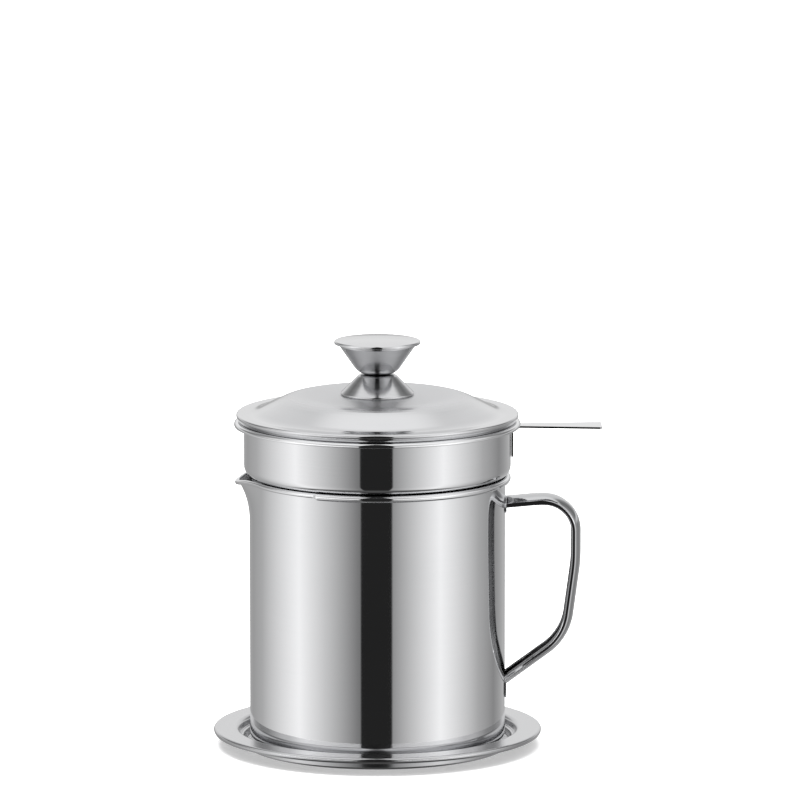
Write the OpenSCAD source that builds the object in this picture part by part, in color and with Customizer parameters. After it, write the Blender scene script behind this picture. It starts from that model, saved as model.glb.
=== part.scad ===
// Oil strainer pot in stainless steel: drip tray, pot with spout, strainer cup and lid, stacked as in use.
// The origin is the centre of the tray's underside, +Z is up, the spout points to -X and the handles to +X.

/* [Pot] */
// Outer diameter of the pot's wall
pot_d = 120; // [100:1:150]
// Height from the pot's base to the top of its rolled rim
pot_h = 128; // [110:1:170]
// Thickness of the pot's sheet
pot_wall = 0.6; // [0.4:0.1:1]
// Outer radius of the bend from base to wall
pot_corner_r = 6; // [3:0.5:9]
// Diameter of the rolled rim
bead_d = 3.2; // [2.6:0.1:4.2]
// Width of the flat ring that the pot stands on
base_ring_w = 9; // [6:0.5:14]
// Rise of the middle of the base above that ring
base_rise = 0.8; // [0.6:0.1:1.5]

/* [Spout] */
// How far the spout's tip stands out from the wall
spout_reach = 5.2; // [3:0.1:8]
// Height of the wall that the spout is drawn from
spout_drop = 24; // [15:1:35]
// How far the rim dips at the spout's tip
spout_dip = 2; // [0:0.1:4]
// Diameter of the thinner hem on the spout's side of the rim
hem_d = 2.4; // [1.8:0.1:2.5]
// Angle from the spout's middle to where the hem becomes the rolled rim
hem_angle = 61; // [45:1:75]

/* [Pot handle] */
// How far the handle stands out from the wall
handle_reach = 35.5; // [28:0.5:50]
// Height of the handle from its top to its lower root
handle_h = 91; // [75:1:100]
// How far the handle's top lies below the rim
handle_drop = 9; // [7:0.5:15]
// Width of the channel
handle_w = 16; // [12:0.5:22]
// Depth of the channel
handle_depth = 4.6; // [4.3:0.1:6]
// Rise of the channel's arched back above its sides
handle_crown = 2.4; // [1.2:0.1:2.6]
// Width of the lips turned in along the channel
handle_lip = 2.4; // [2:0.1:4]
// Thickness of the channel's sheet
handle_sheet = 0.6; // [0.5:0.1:0.8]
// Outer radius of the upper bend
handle_bend_r = 17.5; // [12:0.5:22]
// Outer radius of the lower bend
handle_foot_r = 28; // [8:0.5:32]
// Height of the slanted foot below the lower bend
handle_foot_h = 22; // [14:0.5:30]
// How far the grip leans in towards its lower end
handle_lean = 5; // [0:0.1:9]
// Length of the weld tab below the channel's upper root
handle_tab = 3; // [2:0.5:8]
// Length of the weld tab below the channel's lower root
handle_foot_tab = 6; // [4:0.5:12]

/* [Strainer] */
// Thickness of the strainer's sheet
strainer_wall = 0.6; // [0.4:0.1:1]
// Width of the shoulder that rests on the pot's rim
shoulder_w = 3.5; // [3:0.1:5]
// Drop of the shoulder from its outer to its inner edge
shoulder_drop = 2.7; // [2:0.1:4]
// Height of the wall above the shoulder
upper_h = 23.5; // [18:0.5:40]
// Height of the wall below the shoulder
lower_h = 6.5; // [6:0.5:30]
// Outer radius of the bend from wall to floor
strainer_corner_r = 3.6; // [2:0.1:5]
// Width of the lip
lip_w = 4.6; // [4:0.1:8]
// Height of the lip's rounded edge
lip_drop = 1.9; // [1.6:0.1:3]
// Width of the floor's ledge that carries the mesh
ledge_w = 3.5; // [2:0.5:8]
// Thickness of the mesh disc
mesh_t = 0.5; // [0.3:0.1:1]
// Diameter of the mesh's holes
mesh_hole_d = 3.2; // [2:0.1:4]
// Distance between the mesh's holes
mesh_pitch = 5.6; // [5:0.1:9]

/* [Strainer handle] */
// How far the handle stands out from the lip
strip_reach = 38; // [25:0.5:60]
// Width at the lip
strip_w = 9; // [7:0.5:14]
// Width at the free end
strip_end_w = 16; // [14:0.5:24]
// Thickness of the strip
strip_t = 1; // [0.8:0.1:1.6]
// Length of the weld tab on the wall
strip_tab = 15; // [8:0.5:15]

/* [Lid] */
// Thickness of the lid's sheet
lid_wall = 0.6; // [0.4:0.1:1]
// How far the lid's edge lies inside the strainer's lip
lid_inset = 1; // [0.8:0.1:2]
// Height of the lid's turned-down edge
lid_edge_h = 3.4; // [3:0.1:4.2]
// Lean of that edge, in degrees, in towards its foot
lid_lean = 40; // [0:1:42]
// Width of the flat brim
brim_w = 8.2; // [8:0.1:12]
// Width of the slope from the brim to the raised middle
riser_w = 17; // [15:0.5:22]
// Rise of the lid's middle above its brim
dome_h = 8.5; // [5:0.1:10]
// Height of the collar below the lid's edge
collar_h = 8.8; // [7:0.1:14]
// Height of the rounded hem on the collar
collar_hem = 2.8; // [2.2:0.1:4]

/* [Knob] */
// Diameter of the knob's top
knob_d = 40.5; // [32:0.5:50]
// Diameter of the upper cone at its foot
waist_d = 17.5; // [15:0.5:22]
// Diameter of the skirt at its top
skirt_top_d = 17.5; // [16:0.5:24]
// Diameter of the skirt's foot
skirt_d = 34.4; // [28:0.2:42]
// Height of the skirt
skirt_h = 9.8; // [6:0.2:12]
// Height of the upper cone
cone_h = 15; // [12:0.5:22]
// Height of the cap's straight edge
cap_edge_h = 0.8; // [0.6:0.1:3]
// Rise of the cap's crown
cap_crown = 0.9; // [0.5:0.1:4]
// Thickness of the knob's sheet
knob_wall = 0.8; // [0.6:0.1:1.2]
// Diameter of the screw
screw_d = 4; // [3:0.5:5]
// Diameter of the screw's head
head_d = 8.5; // [7.5:0.5:11]
// Height of the screw's head
head_h = 2.6; // [2:0.1:3.5]
// Diameter of the washer
washer_d = 13; // [11:0.5:18]
// Thickness of the washer
washer_t = 1; // [0.6:0.1:1.6]
// Diameter of the threaded boss
boss_d = 9; // [7:0.5:10]
// Height of the threaded boss
boss_h = 10; // [8:0.5:11]

/* [Tray] */
// Thickness of the tray's sheet
tray_wall = 0.7; // [0.5:0.1:1]
// Room between the pot and the wall of the tray's recess
tray_room = 2.5; // [1:0.1:6]
// Depth of the recess
tray_depth = 7.7; // [5:0.1:14]
// Width of the ledge halfway up the recess
tray_ledge_w = 1.6; // [1.2:0.1:4]
// Width of the flat rim
tray_rim_w = 11.4; // [8:0.1:18]
// Height of the turned-down edge
tray_edge_h = 2.6; // [2.4:0.1:4]
// Lean of that edge, in degrees, in towards its foot
tray_lean = 30; // [0:1:35]
// Diameter of the ring pressed into the tray's floor
tray_ring_d = 71; // [50:1:76]
// Height of that ring
tray_ring_h = 0.3; // [0.2:0.1:0.4]

/* [Fits] */
// Room all round between the strainer and the inside of the pot
strainer_fit = 0.3; // [0.2:0.05:0.8]
// Room all round between the collar and the inside of the strainer
collar_fit = 0.45; // [0.2:0.05:0.8]
// Gap left where a rounded piece sits on another
seat_gap = 0.3; // [0.2:0.05:0.5]
// Gap left for the weld between a tab and a round wall
weld_gap = 0.1; // [0.05:0.05:0.2]
// Room around the screw in the holes that it passes
screw_fit = 0.2; // [0.1:0.05:0.4]
// Room around the screw in its thread
thread_fit = 0.05; // [0.02:0.01:0.1]
// Room between the cap and the cone that it is crimped on
cap_fit = 0.1; // [0.05:0.05:0.2]

/* [Hidden] */

steel = [0.80, 0.81, 0.82];
satin_steel = [0.72, 0.73, 0.74];

// Sides of a round piece, steps of a bend, and steps of the rim's curl
round_fn = 128;
bend_steps = 5;
curl_steps = 9;

// Pot
pot_z = tray_wall;
pot_r = pot_d / 2;
pot_mid_r = pot_r - pot_wall / 2;
pot_inner_r = pot_r - pot_wall;
base_slope_w = 2;
base_slope_r = 3;
curl_angle = 255;

// Spout: the tip's rounding and the bead's step are angles, and the rest is a grid of rows and stations
spout_z = pot_h - spout_drop;
spout_power = 2.5;
tip_soft = 3;
beak_angle = acos(pot_mid_r / (pot_mid_r + spout_reach)) + tip_soft;
step_angle = 2;
sector_angle = hem_angle + 2 * step_angle;
spout_rows = 8;
spout_stations = 46;
seam_inset = 0.05;
seam_overlap = 0.4;

// Pot handle, with its roots run into the wall before they are cut back to it
handle_top = pot_h - handle_drop;
handle_arch = 1.3;
handle_arch_x = 15;
handle_arch_r = 60;
handle_grip_drop = 32;
handle_grip_r = 80;
handle_run_in = 3;
channel_r = 0.6;
channel_lip_r = 0.5;
channel_side = (handle_w - handle_sheet) / 2;
crown_r = (pow(channel_side, 2) + pow(handle_crown, 2)) / (2 * handle_crown);
crown_steps = 4;

// Strainer, seated so that its shoulder clears the pot's rim by the seat gap
lower_r = pot_inner_r - strainer_fit;
upper_r = lower_r + shoulder_w;
bead_r = bead_d / 2;
bead_c_r = pot_inner_r + bead_r;
bead_c_z = pot_z + pot_h - bead_r;
shoulder_normal = [shoulder_drop, -shoulder_w] / norm([shoulder_drop, shoulder_w]);
shoulder_z = bead_c_z + ((bead_c_r - lower_r) * shoulder_normal.x - bead_r - seat_gap) / shoulder_normal.y;
shoulder_r = 1.2;
shoulder_top_r = 4.5;
strainer_z = shoulder_z - lower_h;
lip_top = shoulder_z + shoulder_drop + upper_h;
lip_r = upper_r + lip_w;
lip_bend_r = 1.8;
lip_edge_r = 1.2;
mesh_room = 0.3;
mesh_r = lower_r - strainer_corner_r - mesh_room;
mesh_z = strainer_z + strainer_wall;
mesh_border = ledge_w + mesh_hole_d / 2;

// Strainer handle
strip_top = lip_top - lip_drop - weld_gap;
strip_bend_r = 2;
strip_root_x = upper_r + weld_gap;
strip_end_r = 1.2;

// Lid
lid_r = lip_r - lid_inset;
lid_z = lip_top + seat_gap;
brim_z = lid_z + lid_edge_h;
middle_z = brim_z + dome_h;
lid_edge_r = 1.1;
riser_foot_r = 12;
riser_top_r = 22;
collar_r = upper_r - strainer_wall - collar_fit;
collar_flange_w = 2;
collar_bend_r = 1;
groove_depth = 1;
groove_h = 1.4;
groove_r = 0.3;
hem_start = 50;
hem_turn = 230;

// Knob
skirt_top = middle_z + skirt_h;
cone_top = skirt_top + cone_h;
waist_r = waist_d / 2;
cone_bend_r = 2.5;
cone_flange_w = 3;
cone_top_r = knob_d / 2 - knob_wall - cap_fit;
skirt_bend_r = 0.8;
skirt_lip_h = 0.4;
cap_top = cone_top + cap_fit + knob_wall;
cap_flat = 0.5;
screw_hole_r = screw_d / 2 + screw_fit;
washer_z = middle_z - lid_wall - washer_t;
boss_z = skirt_top + knob_wall;
thread_end = 2;
head_round = 0.8;

// Tray
tray_floor_r = pot_r + tray_room;
tray_top = tray_wall + tray_depth;
tray_riser_w = 0.8;
tray_bend_r = 1;
tray_edge_r = 0.9;
tray_ring_w = 5;
tray_r = tray_floor_r + 2 * tray_riser_w + tray_ledge_w + tray_rim_w;

function unit(v) = v / norm(v);
function left(v) = [-v.y, v.x];
function flat(p) = [p.x, p.y];
function reversed(list) = [for (i = [len(list) - 1:-1:0]) list[i]];

// Points of an arc about c, from one angle through a turn
function arc(c, r, from, turn, steps) = [
    for (k = [0:steps]) c + r * [cos(from + turn * k / steps), sin(from + turn * k / steps)]
];

// The arc that rounds the corner at p, between a and b
function bend(a, p, b, r) =
    let (u = unit(a - p))
    let (v = unit(b - p))
    let (half = acos(u * v) / 2)
    let (c = p + unit(u + v) * r / sin(half))
    let (first = p + u * r / tan(half) - c)
    let (last = p + v * r / tan(half) - c)
    let (from = atan2(first.y, first.x))
    let (to = atan2(last.y, last.x))
    arc(c, r, from, to - from - 360 * round((to - from) / 360), bend_steps);

// A path through points [x, y, bend radius]
function bent(points) = [
    for (i = [0:len(points) - 1])
        each points[i].z == 0
            ? [flat(points[i])]
            : bend(flat(points[i - 1]), flat(points[i]), flat(points[i + 1]), points[i].z)
];

// Direction of a path at point i
function heading(path, i) =
    let (before = i > 0 ? unit(path[i] - path[i - 1]) : [0, 0])
    let (after = i < len(path) - 1 ? unit(path[i + 1] - path[i]) : [0, 0])
    unit(before + after);

// How much a mitred corner widens a sheet at point i
function mitre(path, i) = i > 0 ? 1 / (heading(path, i) * unit(path[i] - path[i - 1])) : 1;

// A path moved sideways by d
function beside(path, d) = [
    for (i = [0:len(path) - 1]) path[i] + left(heading(path, i)) * d * mitre(path, i)
];

// Outline of a sheet of thickness t along a path
function sheet(path, t) = concat(beside(path, t / 2), reversed(beside(path, -t / 2)));

// A round pressing: a sheet whose middle line is the path, turned about the Z axis
module pressing(path, t) {
    rotate_extrude($fn = round_fn) polygon(sheet(path, t));
}

// A solid through sections of n points, whose two halves are the two faces of a sheet
module loft(sections) {
    n = len(sections[0]);
    last = n * (len(sections) - 1);
    sides = [
        for (i = [0:len(sections) - 2], k = [0:n - 1])
            let (a = n * i + k)
            let (b = n * i + (k + 1) % n)
            each [[a, b + n, b], [a, a + n, b + n]]
    ];
    caps = [
        for (k = [0:n / 2 - 2])
            each [
                [k, n - 2 - k, n - 1 - k],
                [k, k + 1, n - 2 - k],
                [last + k, last + n - 1 - k, last + n - 2 - k],
                [last + k, last + n - 2 - k, last + k + 1]
            ]
    ];
    polyhedron(points = [for (s = sections) each s], faces = concat(sides, caps));
}

// The functions down to the spout take an angle a from the spout's middle

// How far the pot's wall stands out at its rim: straight sides that meet in a rounded tip
function beak(a) =
    let (s = norm([a, tip_soft]))
    s >= beak_angle ? 0 : pot_mid_r / cos(beak_angle - s) - pot_mid_r;

// Share of the way from hem to rolled rim
function rim_share(a) = min(1, max(0, (abs(a) - hem_angle) / step_angle));
function rim_d(a) = hem_d + (bead_d - hem_d) * rim_share(a);
function curl_z(a) = pot_h - rim_d(a) / 2 - spout_dip * beak(a) / spout_reach;

// The wall above the spout's start, at share s of its height
function spout_wall(a, s) = [pot_mid_r + beak(a) * pow(s, spout_power), spout_z + s * (curl_z(a) - spout_z)];

// The curl at the top of the wall, which leans out at the spout
function curl(a) =
    let (r = (rim_d(a) - pot_wall) / 2)
    let (lean = atan(beak(a) * spout_power / (curl_z(a) - spout_z)))
    let (c = spout_wall(a, 1) + r * [cos(lean), -sin(lean)])
    arc(c, r, 180 - lean, -curl_angle, curl_steps);

function spout_path(a) = concat(
    [[pot_mid_r, spout_z - seam_overlap]],
    [for (k = [0:spout_rows - 1]) spout_wall(a, k / spout_rows)],
    curl(a)
);

// A section of the spout, set at its angle round the pot
function spout_section(a) = [
    for (p = sheet(spout_path(a), pot_wall - 2 * seam_inset)) [-p.x * cos(a), -p.x * sin(a), p.y]
];

module spout() {
    reach = sector_angle + seam_overlap;
    loft([for (i = [0:spout_stations]) spout_section(reach * (2 * i / spout_stations - 1))]);
}

// The wedge of plain wall that the spout takes the place of
module spout_gap() {
    far = 2 * pot_r;
    corner = far * [-cos(sector_angle), sin(sector_angle)];
    translate([0, 0, spout_z])
        linear_extrude(height = pot_h)
            polygon([[0, 0], corner, [-far, corner.y], [-far, -corner.y], [corner.x, -corner.y]]);
}

module pot_body() {
    ring_r = pot_r - pot_corner_r - base_ring_w;
    floor_z = pot_wall / 2;
    path = concat(
        bent([
            [0, base_rise + floor_z, 0],
            [ring_r - base_slope_w, base_rise + floor_z, base_slope_r],
            [ring_r, floor_z, base_slope_r],
            [pot_mid_r, floor_z, pot_corner_r - floor_z],
            [pot_mid_r, spout_z, 0]
        ]),
        curl(180)
    );
    color(steel)
        translate([0, 0, pot_z]) {
            difference() {
                pressing(path, pot_wall);
                spout_gap();
            }
            spout();
        }
}

// Outer line of the pot's handle, from its upper to its lower root
function handle_path() =
    let (out = pot_r + handle_reach)
    let (foot_x = out - handle_lean)
    let (foot_z = handle_top - handle_h)
    let (slant = handle_foot_h / (foot_x - pot_r))
    bent([
        [pot_r - handle_run_in, handle_top - handle_arch, 0],
        [pot_r + handle_arch_x, handle_top, handle_arch_r],
        [out, handle_top, handle_bend_r],
        [out, handle_top - handle_grip_drop, handle_grip_r],
        [foot_x, foot_z + handle_foot_h, handle_foot_r],
        [pot_r - handle_run_in, foot_z - handle_run_in * slant, 0]
    ]);

// Points of the arched back out to a side: across the handle, and in from the ridge
function crown(side) = [
    for (k = [-crown_steps:crown_steps])
        let (y = side * k / crown_steps)
        [y, crown_r - sqrt(pow(crown_r, 2) - pow(y, 2))]
];

// Middle line of the channel: across the handle, and in from its outer face
function channel_path() =
    let (back = handle_sheet / 2)
    let (front = handle_depth - handle_sheet / 2)
    let (lip = handle_w / 2 - handle_lip)
    bent(concat(
        [[-lip, front, 0], [-channel_side, front, channel_lip_r]],
        [for (p = crown(channel_side)) [p.x, p.y + back, abs(p.x) < channel_side ? 0 : channel_r]],
        [[channel_side, front, channel_lip_r], [lip, front, 0]]
    ));

// The channel's section at point i of the handle
function channel_section(path, i) =
    let (inward = -left(heading(path, i)) * mitre(path, i))
    [
        for (q = sheet(channel_path(), handle_sheet))
            [path[i].x + q.y * inward.x, q.x, path[i].y + q.y * inward.y]
    ];

// A weld tab: a strip of the wall's own curve, whose top edge follows the arched back down or up
module wall_tab(top, bottom, bow) {
    side = handle_w / 2 - handle_lip;
    edge = [for (p = crown(side)) [p.x, top + bow * p.y]];
    intersection() {
        cylinder(r = pot_r + weld_gap + handle_sheet, h = pot_h, $fn = round_fn);
        rotate([90, 0, 90])
            linear_extrude(height = 2 * pot_r)
                polygon(concat(edge, [[side, bottom], [-side, bottom]]));
    }
}

module pot_handle() {
    path = handle_path();
    root_z = handle_top - handle_arch;
    foot_z = handle_top - handle_h;
    half = handle_sheet / 2;
    color(steel)
        translate([0, 0, pot_z])
            difference() {
                union() {
                    loft([for (i = [0:len(path) - 1]) channel_section(path, i)]);
                    wall_tab(root_z - half, root_z - handle_depth - handle_tab, -1);
                    wall_tab(foot_z + half, foot_z - handle_foot_tab, 1);
                }
                cylinder(r = pot_r + weld_gap, h = 2 * pot_h, center = true, $fn = round_fn);
            }
}

module strainer_cup() {
    half = strainer_wall / 2;
    floor_z = strainer_z + half;
    lip_z = lip_top - half;
    color(steel)
        pressing(bent([
            [mesh_r - ledge_w, floor_z, 0],
            [lower_r - half, floor_z, strainer_corner_r - half],
            [lower_r - half, shoulder_z + half, shoulder_r],
            [upper_r - half, shoulder_z + shoulder_drop + half, shoulder_top_r],
            [upper_r - half, lip_z, lip_bend_r],
            [lip_r - half, lip_z, lip_edge_r],
            [lip_r - half, lip_top - lip_drop, 0]
        ]), strainer_wall);
}

module strainer_mesh() {
    rows = floor(mesh_r / (mesh_pitch * sin(60)));
    places = [
        for (j = [-rows:rows], i = [-rows:rows])
            let (p = mesh_pitch * [i + (j % 2) / 2, j * sin(60)])
            if (norm(p) < mesh_r - mesh_border) p
    ];
    color(satin_steel)
        translate([0, 0, mesh_z])
            linear_extrude(height = mesh_t)
                difference() {
                    circle(r = mesh_r, $fn = round_fn);
                    for (p = places) translate(p) circle(d = mesh_hole_d, $fn = 24);
                }
}

// Seen from above: narrow at the wall and wider towards the rounded end
module strip_outline() {
    end_x = lip_r + strip_reach;
    polygon(bent([
        [upper_r, -strip_w / 2, 0],
        [lip_r, -strip_w / 2, 0],
        [end_x, -strip_end_w / 2, strip_end_r],
        [end_x, strip_end_w / 2, strip_end_r],
        [lip_r, strip_w / 2, 0],
        [upper_r, strip_w / 2, 0]
    ]));
}

module strainer_handle() {
    half = strip_t / 2;
    path = bent([
        [strip_root_x + half, strip_top - strip_tab, 0],
        [strip_root_x + half, strip_top - half, strip_bend_r],
        [lip_r + strip_reach + strip_t, strip_top - half, 0]
    ]);
    color(steel)
        intersection() {
            rotate([90, 0, 0])
                linear_extrude(height = 2 * strip_end_w, center = true)
                    polygon(sheet(path, strip_t));
            linear_extrude(height = lip_top) strip_outline();
        }
}

// How far the corner of a leaning edge lies outside the radius that its bend just reaches
function corner_out(r, lean) = r * (tan(45 + lean / 2) - 1);

module lid_dome() {
    half = lid_wall / 2;
    edge_r = lid_r - half + corner_out(lid_edge_r, lid_lean);
    foot_r = edge_r - (lid_edge_h - half) * tan(lid_lean);
    brim_r = lid_r - brim_w;
    color(steel)
        pressing(bent([
            [screw_hole_r, middle_z - half, 0],
            [brim_r - riser_w, middle_z - half, riser_top_r],
            [brim_r, brim_z - half, riser_foot_r],
            [edge_r, brim_z - half, lid_edge_r],
            [foot_r, lid_z, 0]
        ]), lid_wall);
}

module lid_collar() {
    half = lid_wall / 2;
    wall_r = collar_r - half;
    flange_z = brim_z - lid_wall - half;
    bottom = lid_z - collar_h;
    hem_r = collar_hem / 2;
    groove_z = bottom + collar_hem + groove_h / 2;
    color(steel)
        pressing(concat(
            bent([
                [wall_r + collar_flange_w, flange_z, 0],
                [wall_r, flange_z, collar_bend_r],
                [wall_r, groove_z + groove_h, groove_r],
                [wall_r - groove_depth, groove_z, groove_r],
                [wall_r - groove_depth / 2, groove_z - groove_h / 2, 0]
            ]),
            arc([wall_r - hem_r + half, bottom + hem_r], hem_r - half, hem_start, -hem_turn, curl_steps)
        ), lid_wall);
}

module knob_cap() {
    half = knob_wall / 2;
    edge_r = knob_d / 2 - half;
    crown_r = (pow(edge_r, 2) + pow(cap_crown, 2)) / (2 * cap_crown);
    crown_angle = asin(edge_r / crown_r);
    crown_c = [0, cap_top + cap_crown - half - crown_r];
    crown = arc(crown_c, crown_r, 90 - cap_flat, cap_flat - crown_angle, 2 * bend_steps);
    edge = [edge_r, cap_top - half - cap_edge_h];
    color(steel)
        pressing(concat([[0, crown[0].y]], crown, [edge]), knob_wall);
}

module knob_cone() {
    half = knob_wall / 2;
    color(steel)
        pressing(bent([
            [screw_hole_r, skirt_top + half, 0],
            [waist_r - half, skirt_top + half, cone_bend_r],
            [cone_top_r - half, cone_top - half, knob_wall],
            [cone_top_r - cone_flange_w, cone_top - half, 0]
        ]), knob_wall);
}

module knob_boss() {
    color(satin_steel)
        translate([0, 0, boss_z])
            difference() {
                cylinder(d = boss_d, h = boss_h, $fn = round_fn);
                translate([0, 0, -thread_end / 2])
                    cylinder(r = screw_d / 2 + thread_fit, h = boss_h, $fn = round_fn);
            }
}

module knob_skirt() {
    half = knob_wall / 2;
    color(steel)
        pressing(bent([
            [screw_hole_r, skirt_top - half, 0],
            [skirt_top_d / 2 - half, skirt_top - half, skirt_bend_r],
            [skirt_d / 2 - half, middle_z + skirt_lip_h, knob_wall / 2],
            [skirt_d / 2 - half, middle_z, 0]
        ]), knob_wall);
}

module knob_screw() {
    top = boss_z + boss_h - thread_end;
    color(satin_steel)
        rotate_extrude($fn = round_fn)
            polygon(concat(
                bent([
                    [0, washer_z - head_h, 0],
                    [head_d / 2, washer_z - head_h, head_round],
                    [head_d / 2, washer_z, 0]
                ]),
                [[screw_d / 2, washer_z], [screw_d / 2, top], [0, top]]
            ));
}

module knob_washer() {
    color(satin_steel)
        translate([0, 0, washer_z])
            difference() {
                cylinder(d = washer_d, h = washer_t, $fn = round_fn);
                translate([0, 0, -washer_t])
                    cylinder(r = screw_hole_r, h = 3 * washer_t, $fn = round_fn);
            }
}

module tray() {
    half = tray_wall / 2;
    ring_r = tray_ring_d / 2;
    ledge_r = tray_floor_r + tray_riser_w;
    ledge_z = half + tray_depth / 2;
    rim_r = ledge_r + tray_ledge_w + tray_riser_w;
    edge_r = tray_r - half + corner_out(tray_edge_r, tray_lean);
    foot_r = edge_r - (tray_edge_h - half) * tan(tray_lean);
    color(satin_steel)
        pressing(bent([
            [0, half, 0],
            [ring_r - tray_ring_w / 2, half, tray_bend_r],
            [ring_r - tray_ring_w / 6, half + tray_ring_h, tray_bend_r],
            [ring_r + tray_ring_w / 6, half + tray_ring_h, tray_bend_r],
            [ring_r + tray_ring_w / 2, half, tray_bend_r],
            [tray_floor_r, half, tray_bend_r],
            [ledge_r, ledge_z, tray_bend_r / 2],
            [ledge_r + tray_ledge_w, ledge_z, tray_bend_r / 2],
            [rim_r, tray_top - half, tray_bend_r],
            [edge_r, tray_top - half, tray_edge_r],
            [foot_r, tray_top - tray_edge_h, 0]
        ]), tray_wall);
}

tray();
pot_body();
pot_handle();
strainer_cup();
strainer_mesh();
strainer_handle();
lid_dome();
lid_collar();
knob_cap();
knob_cone();
knob_boss();
knob_skirt();
knob_screw();
knob_washer();
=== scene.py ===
"""Oil strainer pot in polished stainless steel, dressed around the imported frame.

Shapes are drawn in millimetres and degrees, and scaled to metres when their mesh is made.
"""

import math

import bmesh
import bpy
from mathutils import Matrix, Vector
from mathutils.geometry import delaunay_2d_cdt


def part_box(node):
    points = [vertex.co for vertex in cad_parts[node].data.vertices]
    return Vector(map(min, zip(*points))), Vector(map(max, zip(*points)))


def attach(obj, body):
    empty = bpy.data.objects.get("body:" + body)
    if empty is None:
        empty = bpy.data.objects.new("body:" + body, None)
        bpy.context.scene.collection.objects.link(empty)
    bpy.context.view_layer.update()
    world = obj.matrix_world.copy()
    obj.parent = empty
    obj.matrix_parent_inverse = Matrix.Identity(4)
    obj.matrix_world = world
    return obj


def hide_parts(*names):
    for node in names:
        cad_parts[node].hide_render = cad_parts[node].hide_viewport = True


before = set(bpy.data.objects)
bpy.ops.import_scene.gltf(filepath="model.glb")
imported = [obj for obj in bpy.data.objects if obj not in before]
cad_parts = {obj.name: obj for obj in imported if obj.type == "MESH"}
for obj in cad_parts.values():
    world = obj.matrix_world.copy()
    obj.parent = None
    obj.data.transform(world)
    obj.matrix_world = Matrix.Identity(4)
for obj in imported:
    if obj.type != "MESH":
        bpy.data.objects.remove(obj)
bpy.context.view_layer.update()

MM = 0.001


def node_box(node):
    """Lowest and highest corner of a CAD node, in millimetres."""
    low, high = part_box(node)
    return low / MM, high / MM


# Sizes taken from the frame
tray_high = node_box("tray")[1]
pot_low, pot_high = node_box("pot_body")
grip_low, grip_high = node_box("pot_handle")
cup_low, cup_high = node_box("strainer_cup")
mesh_low, mesh_high = node_box("strainer_mesh")
strip_low, strip_high = node_box("strainer_handle")
dome_low, dome_high = node_box("lid_dome")
collar_low, collar_high = node_box("lid_collar")
cap_low, cap_high = node_box("knob_cap")
cone_low, cone_high = node_box("knob_cone")
skirt_low, skirt_high = node_box("knob_skirt")

# Pot
pot_wall = 0.6
bead_d = 3.2
pot_r = pot_high.x - bead_d + pot_wall
pot_mid_r = pot_r - pot_wall / 2
pot_z = pot_low.z
pot_h = pot_high.z - pot_low.z
pot_corner_r = 6
base_ring_w = 9
base_rise = 0.8
base_slope_w = 2
base_slope_r = 3
curl_angle = 285

# Spout
spout_reach = 5.2
spout_drop = 24
spout_dip = 2
spout_power = 2.5
spout_rows = 28
hem_d = 2.4
hem_angle = 61
step_angle = 2.4
tip_soft = 3
spout_lead = 1
spout_z = pot_h - spout_drop
beak_angle = math.degrees(math.acos(pot_mid_r / (pot_mid_r + spout_reach))) + tip_soft

# Pot handle
handle_out = grip_high.x
handle_top = grip_high.z
handle_h = 91
handle_w = grip_high.y - grip_low.y
handle_depth = 4.6
handle_crown = 2.4
handle_lip = 2.4
handle_sheet = 0.6
handle_bend_r = 17.5
handle_foot_r = 28
handle_foot_h = 22
handle_lean = 5
handle_arch = 1.3
handle_arch_x = 15
handle_arch_r = 60
handle_grip_drop = 32
handle_grip_r = 80
handle_tab = 3
handle_foot_tab = 6
handle_root_gap = 0.5
handle_root_x = pot_r + handle_root_gap
handle_root_z = handle_top - handle_arch
handle_foot_z = handle_top - handle_h
upper_tab_top = handle_root_z - handle_sheet / 2
upper_tab_bottom = handle_root_z - handle_depth - handle_tab
lower_tab_top = handle_foot_z + handle_sheet / 2
lower_tab_bottom = handle_foot_z - handle_foot_tab
channel_r = 0.6
channel_lip_r = 0.5
channel_side = (handle_w - handle_sheet) / 2
crown_r = (channel_side**2 + handle_crown**2) / (2 * handle_crown)
crown_steps = 12
tab_corner_r = 2.2
tab_edge_r = 0.15
tab_rows = 32
tab_cols = 40
weld_gap = 0.1
weld_mark_r = 1.7
weld_mark_depth = 0.35
weld_mark_power = 1.5
# Place of a tab's weld marks, as shares of its width and its length
weld_mark_side = 0.2
weld_mark_down = 0.6

# Strainer
strainer_wall = 0.6
strainer_play = 0.3
lower_r = pot_r - pot_wall - strainer_play
shoulder_w = 3.5
shoulder_drop = 2.7
lower_h = 6.5
upper_r = lower_r + shoulder_w
shoulder_z = cup_low.z + lower_h
shoulder_r = 1.2
shoulder_top_r = 4.5
strainer_corner_r = 3.6
lip_drop = 1.9
lip_bend_r = 1.9
lip_edge_r = 1.45
ledge_w = 3.5
screen_pitch = 1.5
screen_hole_r = 0.47
screen_border = 1.2
screen_cell_r = screen_pitch / math.sqrt(3)
screen_row = screen_pitch * math.sqrt(3) / 2

# Strainer handle
strip_t = 1
strip_w = 9
strip_bend_r = 2
strip_end_r = 1.2
strip_edge_r = 0.22
strip_step = 0.6
strip_cols = 36
strip_mark_r = 1.6
strip_mark_heights = (3, 7)

# Lid
lid_wall = 0.6
brim_w = 8.2
riser_w = 17
riser_foot_r = 12
riser_top_r = 22
lid_edge_r = 0.7
lid_lean = 31
screw_hole_r = 2.2
collar_hem = 2.3
collar_flange_w = 2
collar_bend_r = 1
hem_start = 50
hem_turn = 250
groove_depth = 1
groove_h = 1.2
groove_r = 0.3

# Knob
knob_wall = 0.8
waist_r = 8.75
waist_bend_r = 7
cone_top_bend_r = 0.8
cone_flange_w = 3
skirt_top_r = 8.75
skirt_bend_r = 3
skirt_lip_h = 0.4
cap_crown = 0.9
cap_edge_r = 0.45
cap_steps = 24

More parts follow.
